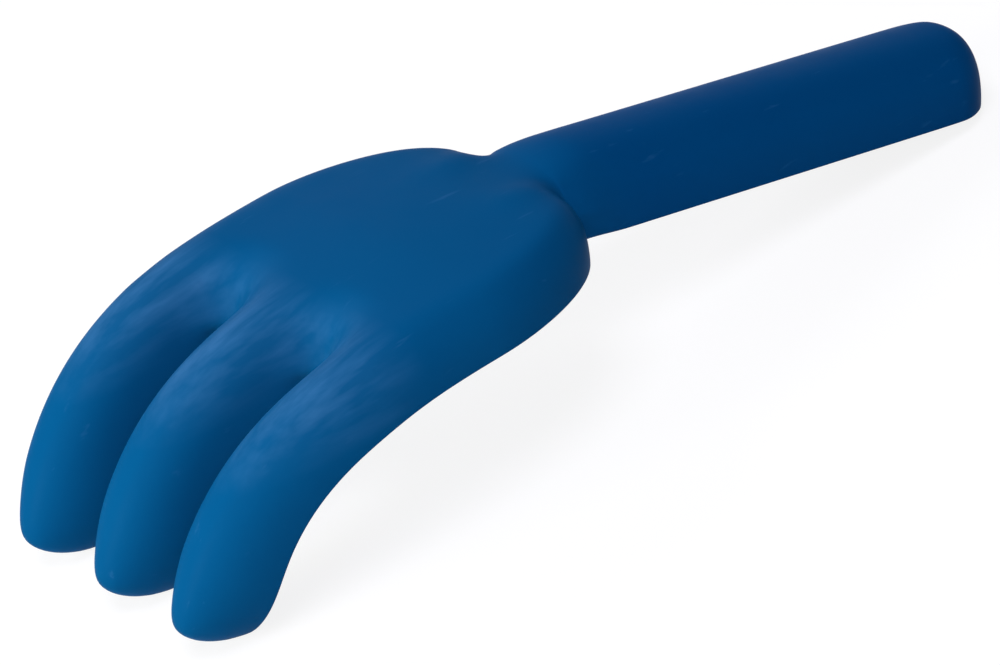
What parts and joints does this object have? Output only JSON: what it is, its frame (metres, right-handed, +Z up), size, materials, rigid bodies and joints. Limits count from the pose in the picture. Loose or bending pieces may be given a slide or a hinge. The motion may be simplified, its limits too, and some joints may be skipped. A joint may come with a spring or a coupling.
{
  "type": "sand rake",
  "caption": "Child's hand-held sand rake: a thin-walled plastic moulding with a round-backed handle, a flat palm and down-bent fingers.",
  "frame": {"origin": "on the ground below the middle of the rake's box, with the rake standing on its fingertips and the rear end of its handle", "axes": "+X from the fingers to the handle, +Y to the right hand of someone holding the handle, +Z up"},
  "size_m": [0.2165, 0.0708, 0.0438],
  "materials": {
    "moulding": "smooth satin polypropylene, coloured through"
  },
  "bodies": {
    "root": {"handle": "moulding", "palm": "moulding", "finger_left": "moulding", "finger_middle": "moulding", "finger_right": "moulding", "handle_ribs": "moulding"}
  },
  "joints": []
}
